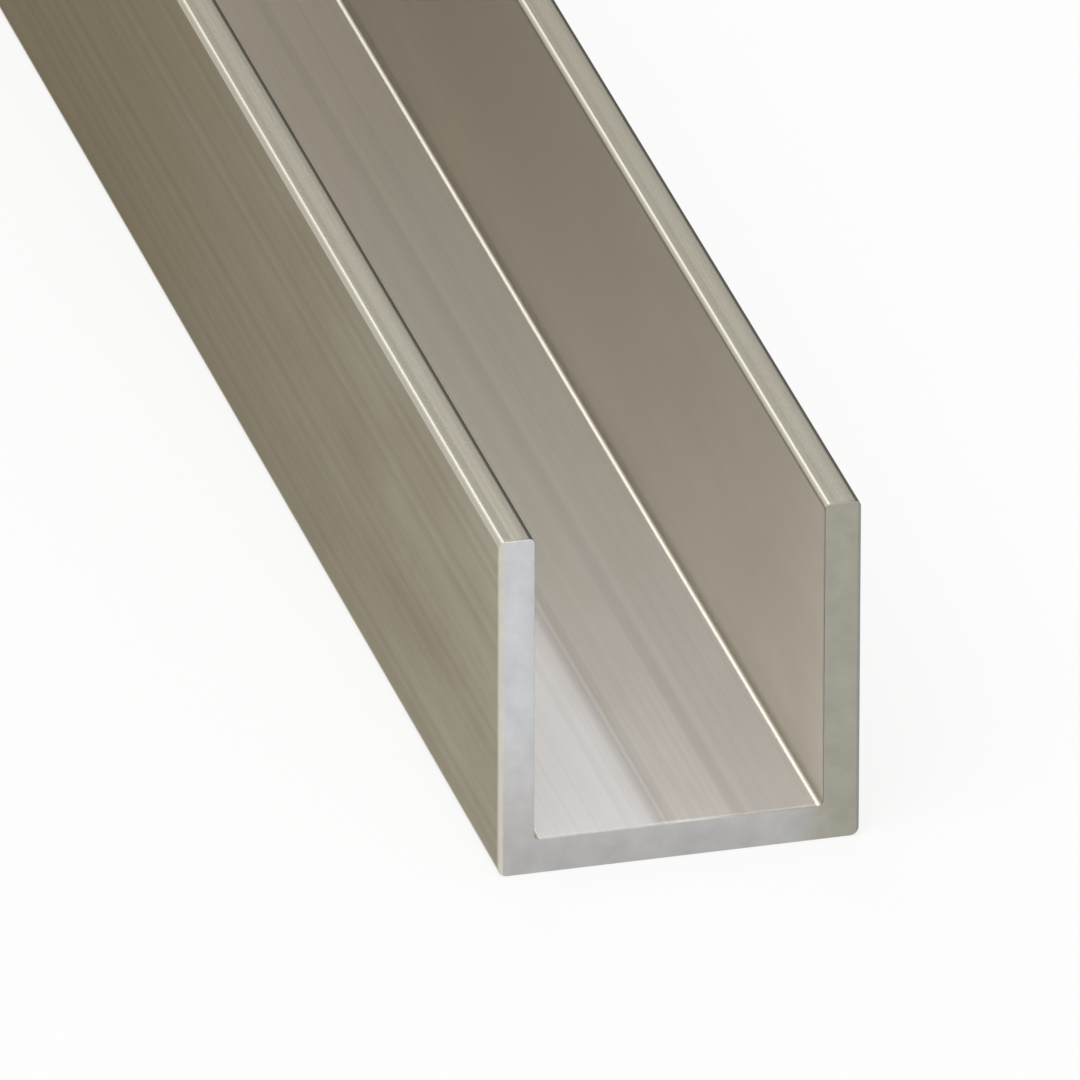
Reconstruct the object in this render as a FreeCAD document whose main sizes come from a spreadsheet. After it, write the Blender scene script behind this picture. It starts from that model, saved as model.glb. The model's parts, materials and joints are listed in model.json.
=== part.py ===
"""A plain length of U-section steel channel, in millimetres.

One rolled and drawn piece of stock: a flat web with an equal flange standing up from
each side of it, sawn square at both ends. It lies on its web with the trough open
upwards. X runs across the section, Y along the length and Z up. The origin is on the
underside of the web, halfway across it and halfway along it.
"""
import FreeCAD, Part
import os

import Sketcher

# Every size that a mill or a user could set by itself: alias, value, what it is.
DIMENSIONS = (
    ("section_width", 20.0, "outside width, across both flanges"),
    ("flange_height", 20.0, "outside height, from the underside to the toes"),
    ("flange_thickness", 2.0, "wall of each flange"),
    ("web_thickness", 2.0, "wall of the web"),
    ("stock_length", 1000.0, "length as sold, sawn end to sawn end"),
    ("heel_radius", 0.5, "outside rounding where a flange turns into the web"),
    ("root_radius", 0.35, "inside rounding in the two corners of the trough"),
    ("toe_radius", 0.3, "rounding along both arrises of each flange's toe"),
    ("end_break", 0.08, "chamfer that takes the burr off each sawn end"),
)

PIECE = "channel"
SHEET = "dimensions"

# How closely an edge has to lie to the place that it is looked up by.
SAME_PLACE = 0.001
# How far the finished volume may stray from the section times the length.
VOLUME_MARGIN = 0.01


def make_sheet(doc):
    """Keep the driving dimensions in a sheet, one named cell to each."""
    sheet = doc.addObject("Spreadsheet::Sheet", SHEET)
    for row, (alias, value, meaning) in enumerate(DIMENSIONS, start=1):
        sheet.set(f"A{row}", meaning)
        sheet.set(f"B{row}", str(value))
        sheet.setAlias(f"B{row}", alias)
    doc.recompute()
    return sheet


def origin_plane(body, role):
    """Return the body's own origin plane that plays this role."""
    for feature in body.Origin.OriginFeatures:
        if feature.Role == role:
            return feature
    raise RuntimeError(f"{body.Label} has no plane {role}")


def name_dimension(sketch, alias, constraint):
    """Add a driving constraint to the sketch and tie it to its cell of the sheet."""
    index = sketch.addConstraint(constraint)
    sketch.renameConstraint(index, alias)
    sketch.setExpression(f"Constraints.{alias}", f"{SHEET}.{alias}")


def draw_section(body, sheet):
    """Draw the sharp-cornered U, standing on the X axis and centred on the Z axis."""
    half_width = sheet.section_width / 2
    inner = half_width - sheet.flange_thickness
    height = sheet.flange_height
    floor = sheet.web_thickness
    corners = [
        (-half_width, 0),
        (half_width, 0),
        (half_width, height),
        (inner, height),
        (inner, floor),
        (-inner, floor),
        (-inner, height),
        (-half_width, height),
    ]

    sketch = body.newObject("Sketcher::SketchObject", "section")
    sketch.AttachmentSupport = (origin_plane(body, "XZ_Plane"), [""])
    sketch.MapMode = "FlatFace"
    points = [FreeCAD.Vector(x, z, 0) for x, z in corners]
    lines = []
    for begin, end in zip(points, points[1:] + points[:1]):
        lines.append(sketch.addGeometry(Part.LineSegment(begin, end)))

    underside, right_side, right_toe, right_inside, trough, left_inside, left_toe, left_side = lines
    first, last = 1, 2
    for line, following in zip(lines, lines[1:] + lines[:1]):
        sketch.addConstraint(Sketcher.Constraint("Coincident", line, last, following, first))
    for line in (underside, right_toe, trough, left_toe):
        sketch.addConstraint(Sketcher.Constraint("Horizontal", line))
    for line in (right_side, right_inside, left_inside, left_side):
        sketch.addConstraint(Sketcher.Constraint("Vertical", line))

    # The middle of the underside is the origin, and the two flanges are alike.
    axes, origin = -1, 1
    sketch.addConstraint(
        Sketcher.Constraint("Symmetric", underside, first, underside, last, axes, origin)
    )
    sketch.addConstraint(Sketcher.Constraint("Equal", left_side, right_side))
    sketch.addConstraint(Sketcher.Constraint("Equal", left_toe, right_toe))

    name_dimension(sketch, "section_width", Sketcher.Constraint(
        "DistanceX", underside, first, underside, last, 2 * half_width))
    name_dimension(sketch, "flange_height", Sketcher.Constraint(
        "DistanceY", right_side, first, right_side, last, height))
    name_dimension(sketch, "flange_thickness", Sketcher.Constraint(
        "DistanceX", right_toe, last, right_toe, first, half_width - inner))
    name_dimension(sketch, "web_thickness", Sketcher.Constraint(
        "DistanceY", underside, last, trough, first, floor))
    return sketch


def long_edges(shape, places):
    """Name the edges that run the whole length through these (x, z) places."""
    names = []
    for number, edge in enumerate(shape.Edges, start=1):
        box = edge.BoundBox
        if box.XLength > SAME_PLACE or box.ZLength > SAME_PLACE:
            continue
        for x, z in places:
            if abs(box.Center.x - x) < SAME_PLACE and abs(box.Center.z - z) < SAME_PLACE:
                names.append(f"Edge{number}")
    if len(names) != len(places):
        raise RuntimeError(f"found {len(names)} long edges for {len(places)} places")
    return names


def end_faces(shape):
    """Name the two sawn faces: the flat ones that have no extent along the length."""
    names = []
    for number, face in enumerate(shape.Faces, start=1):
        if face.BoundBox.YLength < SAME_PLACE:
            names.append(f"Face{number}")
    if len(names) != 2:
        raise RuntimeError(f"found {len(names)} end faces")
    return names


def round_edges(body, previous, name, alias, places):
    """Round long edges of the previous feature with a radius from the sheet."""
    fillet = body.newObject("PartDesign::Fillet", name)
    fillet.Base = (previous, long_edges(previous.Shape, places))
    fillet.setExpression("Radius", f"{SHEET}.{alias}")
    body.Document.recompute()
    return fillet


def break_ends(body, previous):
    """Chamfer every edge of both sawn faces, as a file or a brush leaves them."""
    chamfer = body.newObject("PartDesign::Chamfer", "end_break")
    chamfer.Base = (previous, end_faces(previous.Shape))
    chamfer.setExpression("Size", f"{SHEET}.end_break")
    body.Document.recompute()
    return chamfer


def make_channel(doc, sheet):
    """Run the section along the length, then round its corners and break its ends."""
    body = doc.addObject("PartDesign::Body", PIECE)
    body.Label = PIECE
    body.Placement = FreeCAD.Placement()

    run = body.newObject("PartDesign::Pad", "run")
    run.Profile = draw_section(body, sheet)
    run.SideType = "Symmetric"
    run.setExpression("Length", f"{SHEET}.stock_length")
    doc.recompute()

    half_width = sheet.section_width / 2
    inner = half_width - sheet.flange_thickness
    top = sheet.flange_height
    heels = [(-half_width, 0), (half_width, 0)]
    roots = [(-inner, sheet.web_thickness), (inner, sheet.web_thickness)]
    toes = [(-half_width, top), (-inner, top), (inner, top), (half_width, top)]

    feature = round_edges(body, run, "heels", "heel_radius", heels)
    feature = round_edges(body, feature, "roots", "root_radius", roots)
    feature = round_edges(body, feature, "toes", "toe_radius", toes)
    break_ends(body, feature)
    return body


def check(doc, bodies, sheet):
    """Stop if anything in the document failed or the solid isn't what was meant."""
    for thing in doc.Objects:
        if "Invalid" in thing.State or "Error" in thing.State:
            raise RuntimeError(f"{thing.Name} failed: {thing.State}")
    for body in bodies:
        if body.Shape.isNull() or not body.Shape.isValid() or len(body.Shape.Solids) != 1:
            raise RuntimeError(f"{body.Label} isn't one valid solid")

    walls = 2 * sheet.flange_thickness * sheet.flange_height
    web = (sheet.section_width - 2 * sheet.flange_thickness) * sheet.web_thickness
    expected = (walls + web) * sheet.stock_length
    volume = bodies[0].Shape.Volume
    print(f"volume {volume:.1f} mm3, sharp section times length {expected:.1f} mm3")
    if abs(volume / expected - 1) > VOLUME_MARGIN:
        raise RuntimeError("the volume doesn't match the section times the length")


def main():
    doc = FreeCAD.newDocument("steel_channel")
    sheet = make_sheet(doc)
    bodies = [make_channel(doc, sheet)]
    doc.recompute()
    check(doc, bodies, sheet)

    os.makedirs("parts", exist_ok=True)
    for body in bodies:
        body.Shape.exportStep(f"parts/{body.Label}.step")
        box = body.Shape.BoundBox
        print(f"{body.Label}: {box.XLength:.3f} x {box.YLength:.3f} x {box.ZLength:.3f} mm")


main()
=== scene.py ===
# %% [markdown]
# # A length of steel channel
# The object is one piece of stock: a flat web with a flange standing up from each side, sawn
# square at its ends. Its even walls and crisp corners suggest that it was drawn through a die,
# and it is treated as drawn here, though nothing settles that. Its looks come from four things:
# crisp edges with tiny roundings that catch the light, fine lines along it, a satin skin that is
# duller and warmer away from the ends, and the bright sawn ends. The lesson makes them in that
# order, and then stands the piece on a pale floor in soft light. Much of their light and shade is
# painted into the tones: the brighter ends, the dark outside of the flanges, the dark arrises,
# the pale roots and the steps across each sawn end.

# %% Load the imported frame
import json
import math
import random

import bpy
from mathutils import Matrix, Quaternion, Vector


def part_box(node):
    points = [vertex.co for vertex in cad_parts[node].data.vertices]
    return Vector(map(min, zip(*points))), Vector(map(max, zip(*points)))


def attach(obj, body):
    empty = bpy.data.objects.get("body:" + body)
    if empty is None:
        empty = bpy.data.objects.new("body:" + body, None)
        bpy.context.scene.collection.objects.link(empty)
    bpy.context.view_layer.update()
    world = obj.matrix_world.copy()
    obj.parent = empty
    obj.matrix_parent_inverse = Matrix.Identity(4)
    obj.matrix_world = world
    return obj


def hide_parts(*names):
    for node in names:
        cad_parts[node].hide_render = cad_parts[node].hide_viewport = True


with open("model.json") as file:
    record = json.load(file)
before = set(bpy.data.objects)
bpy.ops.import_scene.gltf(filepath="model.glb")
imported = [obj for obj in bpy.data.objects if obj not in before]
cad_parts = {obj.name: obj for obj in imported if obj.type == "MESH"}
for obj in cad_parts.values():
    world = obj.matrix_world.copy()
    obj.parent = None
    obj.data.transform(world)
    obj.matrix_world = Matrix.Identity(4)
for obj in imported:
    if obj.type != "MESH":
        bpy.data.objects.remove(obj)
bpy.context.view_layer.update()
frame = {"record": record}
low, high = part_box("channel")
print("CAD channel from", tuple(low), "to", tuple(high))

# %% [markdown]
# ## The sizes that the finish hangs on
# The width, height and length come from the frame, and so does the wall: the record keeps the
# height of the trough's floor, and web and flanges are equally thick. The small roundings are
# half a millimetre or less. They are real shape and not bump, because a rounding turns the
# surface through many directions and so nearly always finds light.

# %% Sizes in metres
MM = 0.001
floors = [mount for mount in frame["record"]["mounts"] if mount["name"] == "trough_floor"]
wall = floors[0]["pos_m"][2]
width = high.x - low.x
height = high.z - low.z
length = high.y - low.y
side = width / 2
inner = side - wall

HEEL_RADIUS = 0.5 * MM
ROOT_RADIUS = 0.35 * MM
TOE_RADIUS = 0.3 * MM
END_BREAK = 0.08 * MM
print(f"section {width / MM:.1f} x {height / MM:.1f} mm, wall {wall / MM:.1f}, length {length / MM:.0f}")

# %% [markdown]
# ## Draw the section and run it out
# Such stock has one outline all along a straight line, so the model is made that way. A plane is
# placed where the front end of the web is, cut at the two inner faces, and its outer parts are
# extruded up into the flanges. That gives a flat U, which one last extrusion turns into stock.
# A box with a slot cut by a boolean would give the same block, with less say over its edges.

# %% Helpers for working in edit mode
def only(thing):
    """Make this the one selected and active object."""
    bpy.ops.object.select_all(action="DESELECT")
    thing.select_set(True)
    bpy.context.view_layer.objects.active = thing


def select_faces(thing, wanted):
    """Select the faces that the test wants, and stay in edit mode."""
    bpy.ops.object.mode_set(mode="EDIT")
    bpy.ops.mesh.select_mode(type="FACE")
    bpy.ops.mesh.select_all(action="DESELECT")
    bpy.ops.object.mode_set(mode="OBJECT")
    for face in thing.data.polygons:
        face.select = wanted(face)
    bpy.ops.object.mode_set(mode="EDIT")


def select_edges(thing, wanted):
    """Select the edges whose two end points the test wants. Returns how many."""
    bpy.ops.object.mode_set(mode="EDIT")
    bpy.ops.mesh.select_mode(type="EDGE")
    bpy.ops.mesh.select_all(action="DESELECT")
    bpy.ops.object.mode_set(mode="OBJECT")
    points = thing.data.vertices
    chosen = 0
    for edge in thing.data.edges:
        first, last = edge.vertices
        edge.select = wanted(points[first].co, points[last].co)
        chosen += edge.select
    bpy.ops.object.mode_set(mode="EDIT")
    return chosen


def cut_at(places, axis):
    """Cut the whole mesh by a plane square to the axis at each place."""
    normal = Vector(axis)
    for place in places:
        bpy.ops.mesh.select_all(action="SELECT")
        bpy.ops.mesh.bisect(plane_co=normal * place, plane_no=normal)


# %% The flat U of the front end
NEAR = 0.01 * MM

bpy.ops.object.select_all(action="DESELECT")
bpy.ops.mesh.primitive_plane_add(
    size=1, location=(0, low.y, wall / 2), rotation=(math.radians(90), 0, 0)
)
channel = bpy.context.active_object
channel.name = "drawn_channel"
channel.data.name = "drawn_channel"
channel.scale = (width, wall, 1)
bpy.ops.object.transform_apply(location=True, rotation=True, scale=True)


def tops_a_flange(a, b):
    """An edge on top of the web, outside one of the two inner faces."""
    on_top = min(a.z, b.z) > wall - NEAR
    outside = min(abs(a.x), abs(b.x)) > inner - NEAR
    return on_top and outside and a.x * b.x > 0


bpy.ops.object.mode_set(mode="EDIT")
cut_at((-inner, inner), (1, 0, 0))
raised = select_edges(channel, tops_a_flange)
bpy.ops.mesh.extrude_region_move(TRANSFORM_OT_translate={"value": (0, 0, height - wall)})
print(f"{raised} edges raised into flanges")

# %% [markdown]
# ## Strips for the lines along the stock
# The faces of drawn metal show fine lines along their length. They are built as narrow strips,
# each tilted by a fraction of a degree, which draws long faint streaks on bright metal. The
# section is cut into strips of uneven width here, and a displacement gives them height later.
# The cuts keep clear of the corners, which need room for their roundings.

# %% Uneven cuts
STRIP = 0.17 * MM
UNEVENNESS = (0.6, 1.4)
CORNER_ROOM = 0.6 * MM
STRIP_SEED = 20
drawing = random.Random(STRIP_SEED)


def uneven(start, stop, step):
    """Places from start to stop, about a step apart."""
    places = []
    place = start
    while place < stop:
        places.append(place)
        place += step * drawing.uniform(*UNEVENNESS)
    return places


bpy.ops.object.mode_set(mode="EDIT")
across = uneven(-inner + CORNER_ROOM, inner - CORNER_ROOM, STRIP)
upwards = uneven(wall + CORNER_ROOM, height - CORNER_ROOM, STRIP)
cut_at(across, (1, 0, 0))
cut_at(upwards, (0, 0, 1))
print(f"{len(across)} strips across the web and {len(upwards)} up each flange")

# %% [markdown]
# The U is now run out to its whole length at once. Normals are turned outward here, while the
# mesh is still a plain block and the answer is certain.

# %% Run the section out to its length
WELD = 0.001 * MM

bpy.ops.mesh.select_all(action="SELECT")
bpy.ops.mesh.remove_doubles(threshold=WELD)
bpy.ops.mesh.select_all(action="SELECT")
bpy.ops.mesh.extrude_region_move(TRANSFORM_OT_translate={"value": (0, length, 0)})
bpy.ops.mesh.select_all(action="SELECT")
bpy.ops.mesh.normals_make_consistent(inside=False)
bpy.ops.object.mode_set(mode="OBJECT")
print(len(channel.data.polygons), "faces after the extrusion")

# %% [markdown]
# ## Round the long corners
# The two heels underneath are the widest, and the roots in the trough and the four arrises of the
# toes are tighter. Bevelling with several segments and a profile of one half gives round arcs.
# The roots are hollow corners, and there the same bevel adds metal.

# %% Bevels along the length
ROUND_SEGMENTS = 6
ROUND_PROFILE = 0.5


def runs_at(places):
    """A test for edges that run the whole length at one of these (x, z) places."""
    def passes(point, x, z):
        return abs(point.x - x) < NEAR and abs(point.z - z) < NEAR

    def wanted(a, b):
        return abs(a.y - b.y) > side and any(
            passes(a, x, z) and passes(b, x, z) for x, z in places
        )
    return wanted


def round_edges(name, places, radius):
    """Bevel these long edges into arcs."""
    count = select_edges(channel, runs_at(places))
    bpy.ops.mesh.bevel(
        offset=radius, segments=ROUND_SEGMENTS, affect="EDGES", profile=ROUND_PROFILE
    )
    print(f"{name}: {count} edges rounded to {radius / MM:.2f} mm")


round_edges("heels", [(-side, 0), (side, 0)], HEEL_RADIUS)
round_edges("roots", [(-inner, wall), (inner, wall)], ROOT_RADIUS)
round_edges(
    "toes", [(-side, height), (-inner, height), (inner, height), (side, height)], TOE_RADIUS
)

# %% [markdown]
# ## Take the burr off the ends
# A saw leaves a burr all round its cut, and here it is taken as filed away. The outline of both
# end faces is bevelled by less than a tenth of a millimetre: enough to draw a fine line around
# the section, and too little to see as a chamfer.

# %% Break the edges of the sawn ends
END_ON = 0.9
BREAK_SEGMENTS = 2

select_faces(channel, lambda face: abs(face.normal.y) > END_ON)
bpy.ops.mesh.region_to_loop()
bpy.ops.mesh.bevel(
    offset=END_BREAK, segments=BREAK_SEGMENTS, affect="EDGES", profile=ROUND_PROFILE
)
bpy.ops.object.mode_set(mode="OBJECT")
print(len(channel.data.polygons), "faces with every edge rounded")

# %% [markdown]
# ## Let the lines rise and fade
# A line isn't the same for a whole metre. The stock is cut into short runs, and
# a Displace modifier moves the strips by a few thousandths of a millimetre, always inwards, so
# the piece keeps its size. Its noise is read through an empty that is stretched along the
# length, which draws the noise out into streaks. A ring close to each end keeps the shading of
# the long faces from bending into the cut.

# %% Runs along the length
RUN = 20 * MM
END_RING = 0.4 * MM
runs = round(length / RUN)
rings = [low.y + length * step / runs for step in range(1, runs)]
bpy.ops.object.mode_set(mode="EDIT")
cut_at([low.y + END_RING, *rings, high.y - END_RING], (0, 1, 0))
bpy.ops.object.mode_set(mode="OBJECT")
print(f"{runs} runs, {len(channel.data.polygons)} faces")

# %% Displace the strips
LINE_DEPTH = 0.0025 * MM
STREAK_WIDTH = 0.45 * MM
STREAK_LENGTH = 160 * MM

streaks = bpy.data.textures.new("die_streaks", "CLOUDS")
streaks.noise_scale = 1.0
streaks.noise_depth = 2
bpy.ops.object.empty_add(location=(0, 0, 0))
stretch = bpy.context.active_object
stretch.scale = (STREAK_WIDTH, STREAK_LENGTH, STREAK_WIDTH)
bpy.context.view_layer.update()

only(channel)
displace = channel.modifiers.new("die_lines", "DISPLACE")
displace.texture = streaks
displace.texture_coords = "OBJECT"
displace.texture_coords_object = stretch
displace.mid_level = 1.0
displace.strength = LINE_DEPTH
bpy.ops.object.modifier_apply(modifier=displace.name)
bpy.data.objects.remove(stretch)

# %% [markdown]
# The long faces should look flat and the roundings round. Smooth shading alone would bend the
# light on a flat face towards its rounded edge, so a Weighted Normal modifier lets the large
# faces rule the normals that they share with the small ones.

# %% Shade it
SMOOTH_ANGLE = math.radians(32)
FACE_WEIGHT = 80
bpy.ops.object.shade_smooth_by_angle(angle=SMOOTH_ANGLE)
weighted = channel.modifiers.new("flat_faces_stay_flat", "WEIGHTED_NORMAL")
weighted.keep_sharp = True
weighted.weight = FACE_WEIGHT
bpy.ops.object.modifier_apply(modifier=weighted.name)
print("size in mm:", [round(extent / MM, 3) for extent in channel.dimensions])

# %% [markdown]
# ## Effects that the finishes share
# Each effect is a node group, built once: lines drawn along the length, and a soft mottling of
# the skin with slow changes of tone along the stock, among them painted light that brightens each
# end. The groups hand out plain values between 0 and 1, and each finish decides what to do with
# them.

# %% Node helpers
def new_group(name, inputs, outputs):
    """An empty shader group with these sockets: name to default, and output names."""
    group = bpy.data.node_groups.new(name, "ShaderNodeTree")
    for label, value in inputs.items():
        socket = group.interface.new_socket(label, in_out="INPUT", socket_type="NodeSocketFloat")
        socket.default_value = value
    for label in outputs:
        group.interface.new_socket(label, in_out="OUTPUT", socket_type="NodeSocketFloat")
    start = group.nodes.new("NodeGroupInput")
    end = group.nodes.new("NodeGroupOutput")
    return group, start, end


def math_node(tree, operation, first, second, clamp=False):
    """A Math node fed by two sockets or numbers. Returns its output."""
    node = tree.nodes.new("ShaderNodeMath")
    node.operation = operation
    node.use_clamp = clamp
    for socket, value in zip(node.inputs, (first, second)):
        if isinstance(value, (int, float)):
            socket.default_value = value
        else:
            tree.links.new(value, socket)
    return node.outputs[0]


def object_place(tree):
    """The point on the object, in metres, as three sockets."""
    place = tree.nodes.new("ShaderNodeTexCoord")
    split = tree.nodes.new("ShaderNodeSeparateXYZ")
    tree.links.new(place.outputs["Object"], split.inputs[0])
    return split.outputs


def vector_of(tree, *parts):
    """Join three sockets or numbers into a vector."""
    join = tree.nodes.new("ShaderNodeCombineXYZ")
    for socket, value in zip(join.inputs, parts):
        if isinstance(value, (int, float)):
            socket.default_value = value
        else:
            tree.links.new(value, socket)
    return join.outputs[0]


def noise_at(tree, vector, scale, detail=2.0, roughness=0.5):
    """A Noise texture read at this vector. Returns its value."""
    noise = tree.nodes.new("ShaderNodeTexNoise")
    noise.inputs["Scale"].default_value = scale
    noise.inputs["Detail"].default_value = detail
    noise.inputs["Roughness"].default_value = roughness
    tree.links.new(vector, noise.inputs["Vector"])
    return noise.outputs["Fac"]


def step_between(tree, value, start, stop):
    """0 before start and 1 after stop, with a soft ramp between. Start may be the larger."""
    ramp = tree.nodes.new("ShaderNodeMapRange")
    ramp.interpolation_type = "SMOOTHSTEP"
    ramp.inputs["From Min"].default_value = start
    ramp.inputs["From Max"].default_value = stop
    tree.links.new(value, ramp.inputs["Value"])
    return ramp.outputs["Result"]


# %% Group: lines drawn along the length
LINES_PER_METRE = 8730.0
LINE_FADE = 14.0
BROAD_SHARE = 0.16


def make_die_lines():
    """Fine lines along Y, as many to the metre as Per Metre says."""
    group, start, end = new_group("die_lines", {"Per Metre": LINES_PER_METRE}, ["Fine", "Broad"])
    x, y, z = object_place(group)
    per_metre = start.outputs["Per Metre"]
    drawn = vector_of(
        group,
        math_node(group, "MULTIPLY", x, per_metre),
        math_node(group, "MULTIPLY", y, LINE_FADE),
        math_node(group, "MULTIPLY", z, per_metre),
    )
    fine = noise_at(group, drawn, scale=1.0, detail=3.0, roughness=0.65)
    broad = noise_at(group, drawn, scale=BROAD_SHARE)
    group.links.new(fine, end.inputs["Fine"])
    group.links.new(broad, end.inputs["Broad"])
    return group


die_lines = make_die_lines()

# %% [markdown]
# The skin isn't given one tone for a metre. It is brightest at the two ends and dulls over the
# first 130 mm, and a slow soft noise carries it on from there. The brightening at the ends is
# painted light. It is painted to match one end only, and the other end is given the same: it is a
# choice, and not a known fact about such stock.

# %% Group: mottled skin, slow clouds and painted light at the ends
# The end tone and its reach are painted light that brightens each end of the stock.
END_LIGHT_REACH = 130 * MM
END_LIGHT_TONE = 0.85
MIDDLE_TONE = 0.15
CLOUD_SCALE = 9.0
CLOUD_SHARE = 0.5
BLOTCHES_PER_METRE = 220.0
BLOTCH_STRETCH = 0.35


def make_mottle_and_end_light():
    """Blotches a few millimetres across, longer than wide, slow clouds along the stock, and painted
    light at each end.
    """
    inputs = {"Blotch Per Metre": BLOTCHES_PER_METRE}
    group, start, end = new_group("mottle_and_end_light", inputs, ["Blotch", "Cloud And End Light"])
    x, y, z = object_place(group)
    per_metre = start.outputs["Blotch Per Metre"]
    blotch = vector_of(
        group,
        math_node(group, "MULTIPLY", x, per_metre),
        math_node(group, "MULTIPLY", math_node(group, "MULTIPLY", y, per_metre), BLOTCH_STRETCH),
        math_node(group, "MULTIPLY", z, per_metre),
    )
    patches = noise_at(group, blotch, scale=1.0, detail=3.0, roughness=0.55)
    group.links.new(patches, end.inputs["Blotch"])

    # Painted light: the tone is lifted towards each end of the stock.
    from_front = math_node(group, "SUBTRACT", y, low.y)
    from_back = math_node(group, "SUBTRACT", high.y, y)
    from_end = math_node(group, "MINIMUM", from_front, from_back)
    # The ramp is centred on the end itself and gives a half there, hence the factor of two.
    end_light = step_between(group, from_end, END_LIGHT_REACH, -END_LIGHT_REACH)
    tone = math_node(group, "MULTIPLY", end_light, 2 * (END_LIGHT_TONE - MIDDLE_TONE))
    cloud = noise_at(group, vector_of(group, x, y, z), CLOUD_SCALE, detail=2.0, roughness=0.4)
    drift = math_node(group, "MULTIPLY", math_node(group, "SUBTRACT", cloud, 0.5), CLOUD_SHARE)
    total = math_node(group, "ADD", math_node(group, "ADD", tone, MIDDLE_TONE), drift, clamp=True)
    group.links.new(total, end.inputs["Cloud And End Light"])
    return group


mottle_and_end_light = make_mottle_and_end_light()

# %% [markdown]
# ## The finishes
# All of them are the same bare steel. They differ in tone, gloss, edge tone, the strength of
# their lines and how metallic they are. Metal seen at a glancing angle turns into a mirror, and
# the edge tone, which is the shader's Specular Tint, says how far it goes. It is darkened on the
# large faces, and the faces inside the trough are a little less than metallic, because pure metal
# came out too dark between the flanges. Neither is a measured property.

# %% A function for a drawn finish
WHITE = (1.0, 1.0, 1.0)
MIDDLE_OF_NOISE = (0.3, 0.7)
MOST_WARM = 0.38
STREAK_TONE = (0.97, 1.02)
FINE_DARKER = 0.04
FINE_LIGHTER = 0.03
GLOSS_BELOW = 0.03
GLOSS_ABOVE = 0.04


def mix_colour(tree, factor, first, second):
    """Blend two colours, each a socket or a tuple, by a factor socket."""
    mix = tree.nodes.new("ShaderNodeMix")
    mix.data_type = "RGBA"
    colours = [socket for socket in mix.inputs if socket.type == "RGBA"]
    for socket, value in zip(colours, (first, second)):
        if isinstance(value, tuple):
            socket.default_value = (*value, 1.0)
        else:
            tree.links.new(value, socket)
    tree.links.new(factor, mix.inputs["Factor"])
    return [socket for socket in mix.outputs if socket.type == "RGBA"][0]


def spread(tree, value, lowest, highest):
    """Stretch a noise from its own middle range to run between two limits."""
    ramp = tree.nodes.new("ShaderNodeMapRange")
    ramp.inputs["From Min"].default_value = MIDDLE_OF_NOISE[0]
    ramp.inputs["From Max"].default_value = MIDDLE_OF_NOISE[1]
    ramp.inputs["To Min"].default_value = lowest
    ramp.inputs["To Max"].default_value = highest
    tree.links.new(value, ramp.inputs["Value"])
    return ramp.outputs["Result"]


def shade_colour(tree, colour, shade):
    """Darken or lighten a colour by a factor near 1."""
    scale = tree.nodes.new("ShaderNodeVectorMath")
    scale.operation = "SCALE"
    tree.links.new(colour, scale.inputs[0])
    tree.links.new(shade, scale.inputs["Scale"])
    return scale.outputs[0]


def bare_steel(name, gloss, mirror=1.0, edge_tone=WHITE):
    """A bare metal material. Returns it with its tree and its shader."""
    material = bpy.data.materials.new(name)
    material.use_nodes = True
    shader = material.node_tree.nodes["Principled BSDF"]
    shader.inputs["Metallic"].default_value = mirror
    shader.inputs["Roughness"].default_value = gloss
    shader.inputs["Specular Tint"].default_value = (*edge_tone, 1.0)
    return material, material.node_tree, shader


def raise_bump(tree, shader, height_value, depth, strength):
    """Let a value between 0 and 1 stand up as relief of this depth."""
    bump = tree.nodes.new("ShaderNodeBump")
    bump.inputs["Distance"].default_value = depth
    bump.inputs["Strength"].default_value = strength
    tree.links.new(height_value, bump.inputs["Height"])
    tree.links.new(bump.outputs["Normal"], shader.inputs["Normal"])


BUMP_DEPTH = 0.01 * MM


def drawn_finish(
    name, dull, bright, warm, gloss, line_bump, mirror=1.0, edge_tone=WHITE, contrast=1.0, marks_and_shading=None
):
    """Bare steel with lines along it: two tones, blotched with a warmer one.

    Contrast makes the fine lines in its tone stronger or weaker. Marks is a function that takes
    the tree and gives one more factor for the tone, where a face has marks of its own or painted
    light and shade. The bright tone is painted light where the skin brightens towards the ends.
    """
    material, tree, shader = bare_steel(name, gloss, mirror, edge_tone)
    lines = tree.nodes.new("ShaderNodeGroup")
    lines.node_tree = die_lines
    skin = tree.nodes.new("ShaderNodeGroup")
    skin.node_tree = mottle_and_end_light

    tone = mix_colour(tree, skin.outputs["Cloud And End Light"], dull, bright)
    blotched = mix_colour(tree, spread(tree, skin.outputs["Blotch"], 0.0, MOST_WARM), tone, warm)
    streak = spread(tree, lines.outputs["Broad"], *STREAK_TONE)
    darkest = 1 - FINE_DARKER * contrast
    lightest = 1 + FINE_LIGHTER * contrast
    fine = spread(tree, lines.outputs["Fine"], darkest, lightest)
    shade = math_node(tree, "MULTIPLY", streak, fine)
    if marks_and_shading:
        shade = math_node(tree, "MULTIPLY", shade, marks_and_shading(tree))
    tree.links.new(shade_colour(tree, blotched, shade), shader.inputs["Base Color"])
    rough = spread(tree, lines.outputs["Broad"], gloss - GLOSS_BELOW, gloss + GLOSS_ABOVE)
    tree.links.new(rough, shader.inputs["Roughness"])
    raise_bump(tree, shader, lines.outputs["Fine"], BUMP_DEPTH, line_bump)
    return material


# %% [markdown]
# Of the large faces, the outside of the flanges is the dullest: its dark tone and dark edge tone
# are painted shade, in place of the darker surroundings that it mirrors. The faces inside the
# trough are brighter, and the trough's floor is the smoothest: it mirrors the flanges and the
# light between them. The toes are darker and satin.

# %% The drawn faces
SATIN = 0.65

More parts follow.
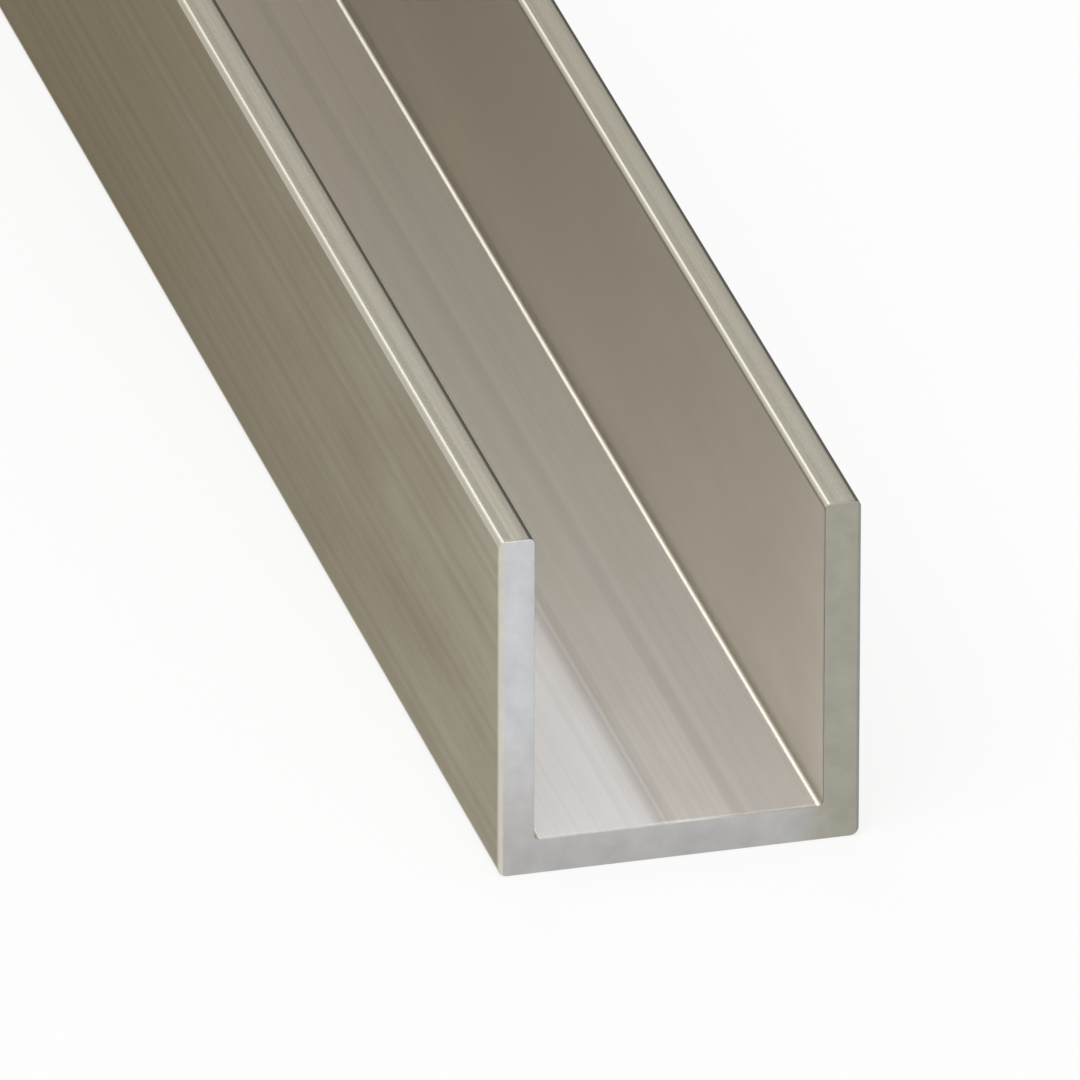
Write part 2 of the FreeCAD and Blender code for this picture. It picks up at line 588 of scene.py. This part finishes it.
# Painted shade: the dark tones of the flanges' outside stand in for a darker reflection.
flange_skin = drawn_finish(
    "flange_skin", (0.28, 0.25, 0.19), (0.76, 0.735, 0.66), (0.44, 0.38, 0.30), 0.30, 0.4,
    edge_tone=(0.31, 0.285, 0.228), contrast=0.6,
)
inside_skin = drawn_finish(
    "inside_skin", (0.31, 0.275, 0.205), (0.84, 0.81, 0.72), (0.54, 0.47, 0.38), 0.30, 0.4,
    mirror=SATIN, edge_tone=(0.76, 0.73, 0.67), contrast=0.6,
)

# %% [markdown]
# The floor of the trough carries lines of its own: a pair of dark ones before the middle and a
# fainter one past it, painted into the tone, whose cause isn't known. Between them a strip is a
# little brighter close to the front end: that is painted light.

# %% The floor of the trough
DARK_BANDS = (
    (7.0 * MM, 0.10 * MM, 0.14),
    (7.7 * MM, 0.12 * MM, 0.10),
    (11.5 * MM, 0.20 * MM, 0.06),
)
# Painted light: a strip of the trough's floor is lifted near the front end.
PAINTED_LIGHT_STRIP = (7.7 * MM, 10.9 * MM)
PAINTED_LIGHT_REACH = 45 * MM
PAINTED_LIGHT_GAIN = 0.10
BAND_SOFTNESS = 0.25 * MM


def band(tree, value, middle, half_width, softness=BAND_SOFTNESS):
    """1 inside a band of the value, 0 outside it, with soft edges."""
    rise = step_between(tree, value, middle - half_width - softness, middle - half_width)
    fall = step_between(tree, value, middle + half_width, middle + half_width + softness)
    return math_node(tree, "SUBTRACT", rise, fall)


def trough_bands_and_light(tree):
    """A factor for the tone of the trough's floor: its dark bands and its strip of painted light."""
    place = object_place(tree)
    from_flange = math_node(tree, "ADD", place["X"], inner)
    factor = 1.0
    for middle, half_width, loss in DARK_BANDS:
        dark = math_node(tree, "MULTIPLY", band(tree, from_flange, middle, half_width), loss)
        factor = math_node(tree, "SUBTRACT", factor, dark)
    start, stop = PAINTED_LIGHT_STRIP
    lit_strip = band(tree, from_flange, (start + stop) / 2, (stop - start) / 2)
    near_cut = step_between(tree, place["Y"], low.y + PAINTED_LIGHT_REACH, low.y)
    painted_light = math_node(tree, "MULTIPLY", lit_strip, near_cut)
    return math_node(tree, "ADD", factor, math_node(tree, "MULTIPLY", painted_light, PAINTED_LIGHT_GAIN))


trough_face = drawn_finish(
    "trough_face", (0.44, 0.405, 0.33), (0.73, 0.725, 0.745), (0.56, 0.51, 0.46), 0.10, 0.08,
    mirror=SATIN, contrast=1.4, marks_and_shading=trough_bands_and_light,
)

# %% [markdown]
# Each toe is darker along its right edge, which is painted shade, and a shade darker in a band
# beside its bright left arris, whose cause isn't known. Both toes read the same pattern: what
# counts is how far a point lies from the toe's left edge, and a modulo gives that for both at
# once. These widths are shares of the wall.

# %% The toes
TOE_BAND = 0.28
TOE_BAND_HALF = 0.04
TOE_BAND_SOFTNESS = 0.1
TOE_BAND_LOSS = 0.18
# Painted shade: the toe darkens towards its right edge.
TOE_SHADE_FROM = 0.6
TOE_SHADE_TO = 0.9
TOE_SHADE = 0.30


def toe_shading(tree):
    """A factor for the tone of a toe, by how far across it a point lies: painted shade towards its right
    edge, and a darker band.
    """
    from_side = math_node(tree, "ADD", object_place(tree)["X"], side)
    across_toe = math_node(tree, "MODULO", from_side, width - wall)
    dark_band = band(
        tree, across_toe, wall * TOE_BAND, wall * TOE_BAND_HALF, wall * TOE_BAND_SOFTNESS
    )
    fall = step_between(tree, across_toe, wall * TOE_SHADE_FROM, wall * TOE_SHADE_TO)
    band_loss = math_node(tree, "MULTIPLY", dark_band, TOE_BAND_LOSS)
    factor = math_node(tree, "SUBTRACT", 1.0, band_loss)
    return math_node(tree, "SUBTRACT", factor, math_node(tree, "MULTIPLY", fall, TOE_SHADE))


toe_face = drawn_finish(
    "toe_face", (0.23, 0.208, 0.155), (0.35, 0.335, 0.275), (0.30, 0.265, 0.205), 0.26, 0.8,
    contrast=1.5, marks_and_shading=toe_shading,
)

# %% [markdown]
# Two of the toes' four arrises, the ones facing left, and the two roots, shine. The other two
# arrises face right and are painted dark, as painted shade, and give each toe one sharp dark line:
# the two finishes are lit and shaded copies of one. The roots shine in the back lamp, and their
# pale tone adds a painted highlight. The heels take the same two finishes, by the side they face.
# The tones are given, and why one arris shines and the next doesn't isn't known.

# %% The arrises and the roots
# Painted light: the arrises facing left take the lighter copy, those facing right the painted shade, and
# the roots a pale painted highlight.
lit_arris = drawn_finish(
    "lit_arris", (0.40, 0.375, 0.30), (0.54, 0.525, 0.45), (0.47, 0.43, 0.35), 0.38, 0.3,
)
shaded_arris = drawn_finish(
    "shaded_arris", (0.09, 0.085, 0.065), (0.14, 0.135, 0.11), (0.12, 0.10, 0.08), 0.34, 0.5,
    edge_tone=(0.5, 0.5, 0.5),
)
root_highlight = drawn_finish(
    "root_highlight", (0.62, 0.59, 0.50), (0.82, 0.80, 0.72), (0.74, 0.69, 0.60), 0.40, 0.2,
)

# %% [markdown]
# The sawn ends are bare metal without the lines along the stock. The left flange is the lightest,
# and lighter towards its top, the web is grey and the right flange is duller and greener, with a
# cream rim at the far left and a darker one at the far right. Soft steps across the section paint
# that change, which is painted light at least in part: lighter on the left, darker on the right,
# with the cream rim a painted highlight and the dark rim painted shade. The rest of its cause isn't
# known. Scratches far finer than the wall run across the section.

# %% The sawn ends
SAW_GLOSS = 0.42
SAW_SCRATCHES = 8730.0
SAW_STRETCH = 0.15
SAW_BLOTCHES = 700.0
SAW_DEPTH = 0.02 * MM
SAW_STRENGTH = 0.4
SAW_PATCHES = (0.92, 1.06)
RIM = 0.22 * MM
RIM_SOFTNESS = 0.08 * MM
FLANGE_TURNS_LIGHT = 0.6 * height
# Painted light on the sawn ends: lighter on the left and up the left flange, darker on the right, with a
# painted highlight on the left rim and painted shade on the right rim.
LEFT_LOW_LIT_TONE = (0.56, 0.54, 0.54)
LEFT_HIGH_LIT_TONE = (0.61, 0.622, 0.635)
WEB_TONE = (0.475, 0.465, 0.455)
RIGHT_SHADED_TONE = (0.375, 0.365, 0.305)
LEFT_RIM_HIGHLIGHT = (0.64, 0.62, 0.53)
RIGHT_RIM_SHADE = (0.30, 0.30, 0.285)


def sawn_finish():
    """Bright cut metal whose tone across the section is painted light, with fine scratches."""
    material, tree, shader = bare_steel("sawn_end", SAW_GLOSS)
    x, y, z = object_place(tree)
    left = step_between(tree, x, -inner + wall / 2, -inner - wall / 4)
    upper = step_between(tree, z, wall / 2, wall * 3)
    right = step_between(tree, x, inner - wall, inner + wall / 4)
    first_flange = math_node(tree, "MULTIPLY", left, upper)
    up_flange = step_between(tree, z, wall, FLANGE_TURNS_LIGHT)
    flange_tone = mix_colour(tree, up_flange, LEFT_LOW_LIT_TONE, LEFT_HIGH_LIT_TONE)
    tone = mix_colour(tree, first_flange, WEB_TONE, flange_tone)
    tone = mix_colour(tree, right, tone, RIGHT_SHADED_TONE)
    left_rim_highlight = step_between(tree, x, -side + RIM + RIM_SOFTNESS, -side + RIM)
    tone = mix_colour(tree, left_rim_highlight, tone, LEFT_RIM_HIGHLIGHT)
    right_rim_shade = step_between(tree, x, side - RIM, side - RIM + RIM_SOFTNESS)
    tone = mix_colour(tree, right_rim_shade, tone, RIGHT_RIM_SHADE)
    blotch = noise_at(tree, vector_of(tree, x, y, z), SAW_BLOTCHES, detail=3.0, roughness=0.6)
    shade = spread(tree, blotch, *SAW_PATCHES)
    tree.links.new(shade_colour(tree, tone, shade), shader.inputs["Base Color"])
    along_teeth = vector_of(tree, math_node(tree, "MULTIPLY", x, SAW_STRETCH), y, z)
    scratch = noise_at(tree, along_teeth, SAW_SCRATCHES, detail=2.0, roughness=0.6)
    raise_bump(tree, shader, scratch, SAW_DEPTH, SAW_STRENGTH)
    return material


sawn_end = sawn_finish()

# %% [markdown]
# ## Give each face its finish
# The finishes are handed out by where a face lies and which way it looks, from the most general
# rule to the most particular, and each rule overrules the ones before it.

# %% Rules and finishes
SQUARE_ON = 0.995
BREAK_TILT = 0.2
LEFTWARD = -0.3


def looks_sideways(face):
    return abs(face.normal.x) > SQUARE_ON


def looks_up(face):
    return face.normal.z > SQUARE_ON


def is_flange(face):
    return looks_sideways(face) and abs(face.center.x) > inner + wall / 2


def is_inside(face):
    return looks_sideways(face) and abs(face.center.x) < inner + wall / 2


def is_underside(face):
    return face.normal.z < -SQUARE_ON


def is_trough(face):
    return looks_up(face) and face.center.z < height / 2


def is_toe(face):
    return looks_up(face) and face.center.z > height / 2


def is_root(face):
    in_corner = face.center.z < wall + ROOT_RADIUS and abs(face.center.x) < inner
    return in_corner and face.normal.z > 0


def is_sawn(face):
    outer_left = face.normal.x < LEFTWARD and face.center.x < -inner
    is_break = abs(face.normal.y) > BREAK_TILT and not outer_left
    return abs(face.normal.y) > END_ON or is_break


FINISHES = (
    (lit_arris, lambda face: True),
    # Faces that look right take the painted shade of the dark arris.
    (shaded_arris, lambda face: face.normal.x > 0),
    (root_highlight, is_root),
    (flange_skin, lambda face: is_flange(face) or is_underside(face)),
    (inside_skin, is_inside),
    (trough_face, is_trough),
    (toe_face, is_toe),
    (sawn_end, is_sawn),
)

only(channel)
for number, (material, wanted) in enumerate(FINISHES):
    channel.data.materials.append(material)
    select_faces(channel, wanted)
    channel.active_material_index = number
    bpy.ops.object.material_slot_assign()
    bpy.ops.object.mode_set(mode="OBJECT")

for number, material in enumerate(channel.data.materials):
    total = sum(face.material_index == number for face in channel.data.polygons)
    print(f"{material.name}: {total} faces")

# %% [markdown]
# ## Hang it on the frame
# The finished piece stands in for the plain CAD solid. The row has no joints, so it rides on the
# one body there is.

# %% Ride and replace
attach(channel, "root")
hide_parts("channel")

# %% [markdown]
# ## Floor, light and camera
# The floor is a wide pale sheet that fades into a white surround. A fiftieth of a millimetre of
# air under the stock keeps the two surfaces from fighting. To the camera, and to the metal that
# mirrors it, the floor is partly its own white light: that lifts it towards white, adds nothing
# to the scattered light, and leaves the object a faint shadow.

# %% The floor
FLOOR_GAP = 0.02 * MM
FLOOR_SIZE = 160
FLOOR_COLOUR = (0.93, 0.93, 0.925, 1)
FLOOR_ROUGHNESS = 0.9
WHITENING = 0.8


def seen_directly(tree):
    """1 for what the camera sees, straight or in metal or glass, and 0 for light on its way."""
    path = tree.nodes.new("ShaderNodeLightPath")
    seen = math_node(tree, "MAXIMUM", path.outputs["Is Camera Ray"], path.outputs["Is Glossy Ray"])
    return math_node(tree, "MAXIMUM", seen, path.outputs["Is Transmission Ray"])


bpy.ops.object.select_all(action="DESELECT")
bpy.ops.mesh.primitive_plane_add(size=FLOOR_SIZE, location=(0, 0, low.z - FLOOR_GAP))
floor = bpy.context.active_object
floor.name = "floor"
paint = bpy.data.materials.new("floor_paint")
paint.use_nodes = True
tree = paint.node_tree
sheet = tree.nodes["Principled BSDF"]
sheet.inputs["Base Color"].default_value = FLOOR_COLOUR
sheet.inputs["Roughness"].default_value = FLOOR_ROUGHNESS
glow = tree.nodes.new("ShaderNodeEmission")
blend = tree.nodes.new("ShaderNodeMixShader")
whiten = math_node(tree, "MULTIPLY", seen_directly(tree), WHITENING)
tree.links.new(whiten, blend.inputs["Fac"])
tree.links.new(sheet.outputs[0], blend.inputs[1])
tree.links.new(glow.outputs[0], blend.inputs[2])
tree.links.new(blend.outputs[0], tree.nodes["Material Output"].inputs["Surface"])
floor.data.materials.append(paint)

# %% [markdown]
# The room is white all round. What the camera and the metal see of it is at full strength, and
# what it sheds on the scene is less, so that pale surfaces keep their own tone.

# %% The world
FILL = 0.64

world = bpy.data.worlds.new("studio")
bpy.context.scene.world = world
world.use_nodes = True
tree = world.node_tree
background = tree.nodes["Background"]
background.inputs["Color"].default_value = (1, 1, 1, 1)
lift = math_node(tree, "MULTIPLY", seen_directly(tree), 1.0 - FILL)
tree.links.new(math_node(tree, "ADD", lift, FILL), background.inputs["Strength"])

# %% [markdown]
# Two wide soft lamps stand far off. The key comes over the viewer's left shoulder. The other
# stands lower, behind the object, and helps the roundings along the toes and in the trough to
# shine towards the viewer.

# %% The lamps
def towards(azimuth, elevation):
    """The direction of a place in the sky: azimuth 0 is in front of the sawn end."""
    a = math.radians(azimuth)
    e = math.radians(elevation)
    return Vector((math.sin(a) * math.cos(e), -math.cos(a) * math.cos(e), math.sin(e)))


def soft_sun(name, azimuth, elevation, strength, angle):
    """A lamp far away in this direction, as wide as this angle."""
    data = bpy.data.lights.new(name, "SUN")
    data.energy = strength
    data.angle = math.radians(angle)
    lamp = bpy.data.objects.new(name, data)
    bpy.context.scene.collection.objects.link(lamp)
    lamp.rotation_mode = "QUATERNION"
    lamp.rotation_quaternion = towards(azimuth, elevation).to_track_quat("Z", "Y")


soft_sun("key", azimuth=-40, elevation=62, strength=1.1, angle=50)
soft_sun("back", azimuth=180, elevation=38, strength=0.32, angle=24)

# %% [markdown]
# The camera looks down the stock from in front, a little to the left and above, through a very
# long lens, so that the stretch that shows hardly narrows with distance. The sawn end sits low
# and to the right, and the stock runs out of the top left corner.

# %% The camera
AZIMUTH = -14.94
ELEVATION = 26.69
ROLL = 0.17
LENS = 1200
SENSOR = 36
CLIP_NEAR = 0.01
CLIP_FAR = 200
DISTANCE = 96.1 * width
AIM_RIGHT = 0.3728 * width
AIM_UP = -0.3997 * width

camera_data = bpy.data.cameras.new("camera")
camera_data.lens = LENS
camera_data.sensor_width = SENSOR
camera_data.clip_start = CLIP_NEAR
camera_data.clip_end = CLIP_FAR
camera = bpy.data.objects.new("camera", camera_data)
bpy.context.scene.collection.objects.link(camera)

back = towards(AZIMUTH, ELEVATION)
level = back.to_track_quat("Z", "Y")
turn = level @ Quaternion((0, 0, 1), math.radians(ROLL))
face_middle = Vector((0, low.y, (low.z + high.z) / 2))
target = face_middle - turn @ Vector((AIM_RIGHT, AIM_UP, 0))
camera.rotation_mode = "QUATERNION"
camera.rotation_quaternion = turn
camera.location = target + back * DISTANCE
bpy.context.scene.camera = camera
bpy.context.scene.view_settings.view_transform = "Standard"
